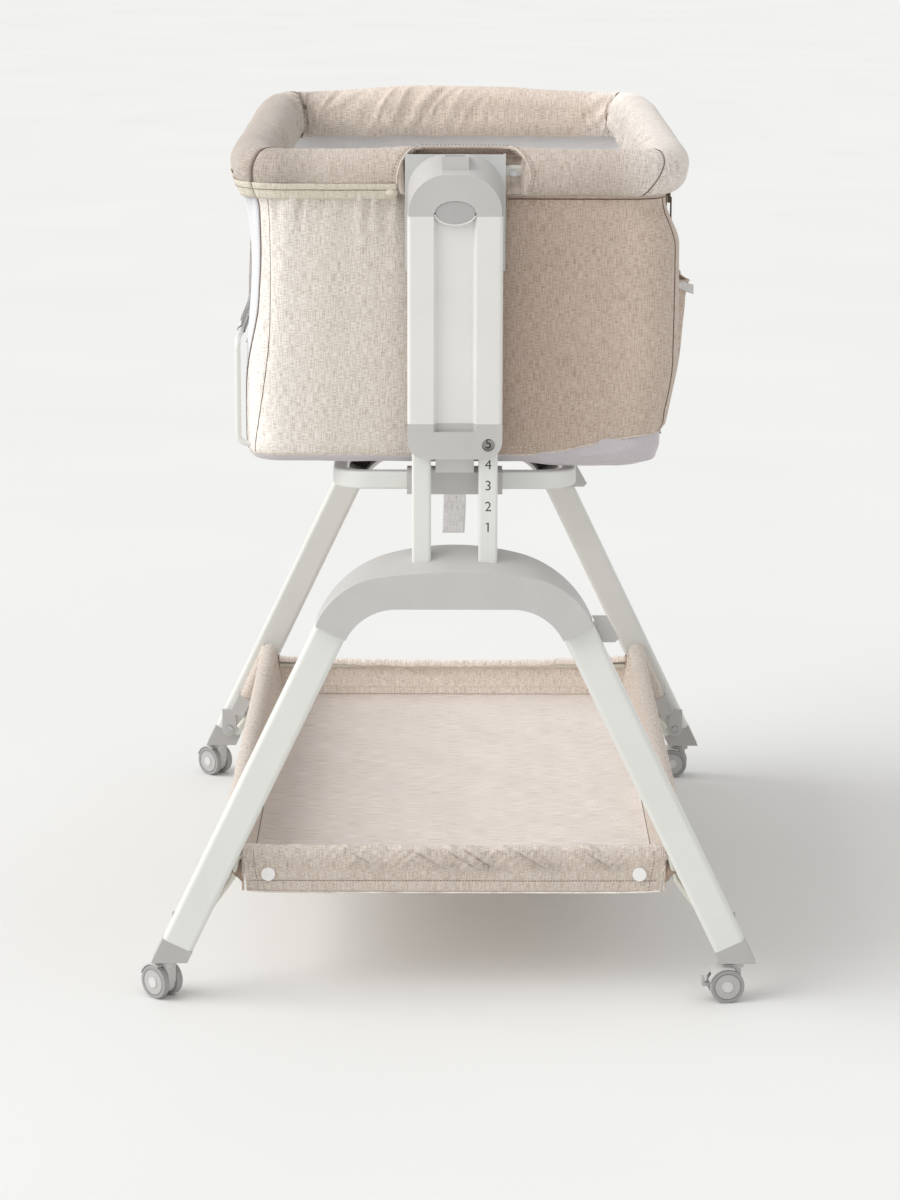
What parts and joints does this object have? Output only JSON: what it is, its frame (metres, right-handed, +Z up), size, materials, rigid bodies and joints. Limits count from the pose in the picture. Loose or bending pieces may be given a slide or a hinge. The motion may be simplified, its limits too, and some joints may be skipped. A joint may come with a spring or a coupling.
{
  "type": "bedside sleeper crib",
  "caption": "Fabric bedside crib on two telescopic posts with splayed caster legs, a mesh side that folds down and a storage tray hung between the legs.",
  "frame": {"origin": "on the floor, midway between the two end posts", "axes": "+Z up, +Y along the crib from the near end to the far end, +X across it, away from the side that drops"},
  "size_m": [0.6268, 0.8962, 0.86],
  "materials": {
    "white_paint": "smooth white powder coat, satin",
    "white_plastic": "moulded, fine satin texture",
    "pale_grey_plastic": "moulded, fine satin texture",
    "foot_grey": "moulded, matt",
    "button_grey": "moulded, satin",
    "caster_grey": "moulded, satin",
    "wheel_grey": "soft tread, matt",
    "bright_steel": "bright plated",
    "zip_metal": "painted, satin",
    "linen": "heathered woven cloth over padding",
    "mesh": "open white knitted mesh",
    "board": "plain fibreboard",
    "bed_cloth": "quilted cotton, matt",
    "grey_cloth": "smooth lining cloth"
  },
  "bodies": {
    "stand": {"near_left_leg": "white_paint", "near_right_leg": "white_paint", "far_left_leg": "white_paint", "far_right_leg": "white_paint", "near_left_foot_cap": "foot_grey", "near_right_foot_cap": "foot_grey", "far_left_foot_cap": "foot_grey", "far_right_foot_cap": "foot_grey", "near_arch": "pale_grey_plastic", "far_arch": "pale_grey_plastic", "near_rails": "white_paint", "far_rails": "white_paint", "near_tray_wire": "white_paint", "far_tray_wire": "white_paint", "storage_tray": "linen", "left_tray_tube": "white_paint", "right_tray_tube": "white_paint", "tray_clips": "pale_grey_plastic", "tray_bolts": "bright_steel", "tray_snaps": "pale_grey_plastic", "leg_plates": "pale_grey_plastic"},
    "basket": {"near_post_sleeve": "white_plastic", "far_post_sleeve": "white_plastic", "near_post_bottom_cap": "pale_grey_plastic", "far_post_bottom_cap": "pale_grey_plastic", "near_post_top_cap": "pale_grey_plastic", "far_post_top_cap": "pale_grey_plastic", "near_rim_bracket": "white_plastic", "far_rim_bracket": "white_plastic", "rim_tube": "white_paint", "rim_screws": "bright_steel", "rim_pad": "linen", "basket_walls": "linen", "guard_bar": "white_paint", "floor_board": "board", "mattress": "bed_cloth", "bottom_cover": "grey_cloth", "side_pocket": "linen", "base_ring": "white_paint", "ring_brackets": "white_plastic", "bed_strap": "grey_cloth"},
    "drop_side": {"drop_rim_tube": "white_paint", "drop_rim_pad": "linen", "drop_mesh_panel": "mesh"},
    "near_button": {"near_height_button": "button_grey"},
    "far_button": {"far_height_button": "button_grey"},
    "zip_slider_body": {"zip_slider": "zip_metal"},
    "near_left_swivel": {"near_left_caster_housing": "caster_grey"},
    "near_left_wheel": {"near_left_caster_wheels": "wheel_grey"},
    "near_left_pedal": {"near_left_caster_brake": "caster_grey"},
    "near_right_swivel": {"near_right_caster_housing": "caster_grey"},
    "near_right_wheel": {"near_right_caster_wheels": "wheel_grey"},
    "near_right_pedal": {"near_right_caster_brake": "caster_grey"},
    "far_left_swivel": {"far_left_caster_housing": "caster_grey"},
    "far_left_wheel": {"far_left_caster_wheels": "wheel_grey"},
    "far_left_pedal": {"far_left_caster_brake": "caster_grey"},
    "far_right_swivel": {"far_right_caster_housing": "caster_grey"},
    "far_right_wheel": {"far_right_caster_wheels": "wheel_grey"},
    "far_right_pedal": {"far_right_caster_brake": "caster_grey"}
  },
  "joints": [
    {"name": "height_slide", "type": "slide", "parent": "stand", "child": "basket", "axis": [0, 0, 1], "range_m": [-0.084, 0]},
    {"name": "drop_side_hinge", "type": "hinge", "parent": "basket", "child": "drop_side", "pos_m": [-0.216, 0, 0.6685], "axis": [0, -1, 0], "range_deg": [0, 165]},
    {"name": "near_button_press", "type": "slide", "parent": "basket", "child": "near_button", "axis": [0, 1, 0], "range_m": [0, 0.004], "stiffness_N_per_m": 600, "springref_m": -0.002},
    {"name": "far_button_press", "type": "slide", "parent": "basket", "child": "far_button", "axis": [0, -1, 0], "range_m": [0, 0.004], "stiffness_N_per_m": 600, "springref_m": -0.002},
    {"name": "zip_slide", "type": "slide", "parent": "basket", "child": "zip_slider_body", "axis": [0, 1, 0], "range_m": [0, 0.6]},
    {"name": "near_left_caster_swivel", "type": "hinge", "parent": "stand", "child": "near_left_swivel", "pos_m": [-0.2885, -0.422, 0.04], "axis": [0, 0, 1], "continuous": true},
    {"name": "near_left_wheel_spin", "type": "hinge", "parent": "near_left_swivel", "child": "near_left_wheel", "pos_m": [-0.29742, -0.41397, 0.0175], "axis": [0.6691, 0.7431, 0], "continuous": true},
    {"name": "near_left_brake_lever", "type": "hinge", "parent": "near_left_swivel", "child": "near_left_pedal", "pos_m": [-0.30634, -0.40594, 0.0205], "axis": [-0.6691, -0.7431, 0], "range_deg": [0, 10]},
    {"name": "near_right_caster_swivel", "type": "hinge", "parent": "stand", "child": "near_right_swivel", "pos_m": [0.2885, -0.422, 0.04], "axis": [0, 0, 1], "continuous": true},
    {"name": "near_right_wheel_spin", "type": "hinge", "parent": "near_right_swivel", "child": "near_right_wheel", "pos_m": [0.27659, -0.42346, 0.0175], "axis": [-0.1219, 0.9925, 0], "continuous": true},
    {"name": "near_right_brake_lever", "type": "hinge", "parent": "near_right_swivel", "child": "near_right_pedal", "pos_m": [0.26468, -0.42492, 0.0205], "axis": [0.1219, -0.9925, 0], "range_deg": [0, 10]},
    {"name": "far_left_caster_swivel", "type": "hinge", "parent": "stand", "child": "far_left_swivel", "pos_m": [-0.2885, 0.422, 0.04], "axis": [0, 0, 1], "continuous": true},
    {"name": "far_left_wheel_spin", "type": "hinge", "parent": "far_left_swivel", "child": "far_left_wheel", "pos_m": [-0.29742, 0.43003, 0.0175], "axis": [0.6691, 0.7431, 0], "continuous": true},
    {"name": "far_left_brake_lever", "type": "hinge", "parent": "far_left_swivel", "child": "far_left_pedal", "pos_m": [-0.30634, 0.43806, 0.0205], "axis": [-0.6691, -0.7431, 0], "range_deg": [0, 10]},
    {"name": "far_right_caster_swivel", "type": "hinge", "parent": "stand", "child": "far_right_swivel", "pos_m": [0.2885, 0.422, 0.04], "axis": [0, 0, 1], "continuous": true},
    {"name": "far_right_wheel_spin", "type": "hinge", "parent": "far_right_swivel", "child": "far_right_wheel", "pos_m": [0.27655, 0.42305, 0.0175], "axis": [0.0872, 0.9962, 0], "continuous": true},
    {"name": "far_right_brake_lever", "type": "hinge", "parent": "far_right_swivel", "child": "far_right_pedal", "pos_m": [0.26459, 0.42409, 0.0205], "axis": [-0.0872, -0.9962, 0], "range_deg": [0, 10]}
  ]
}
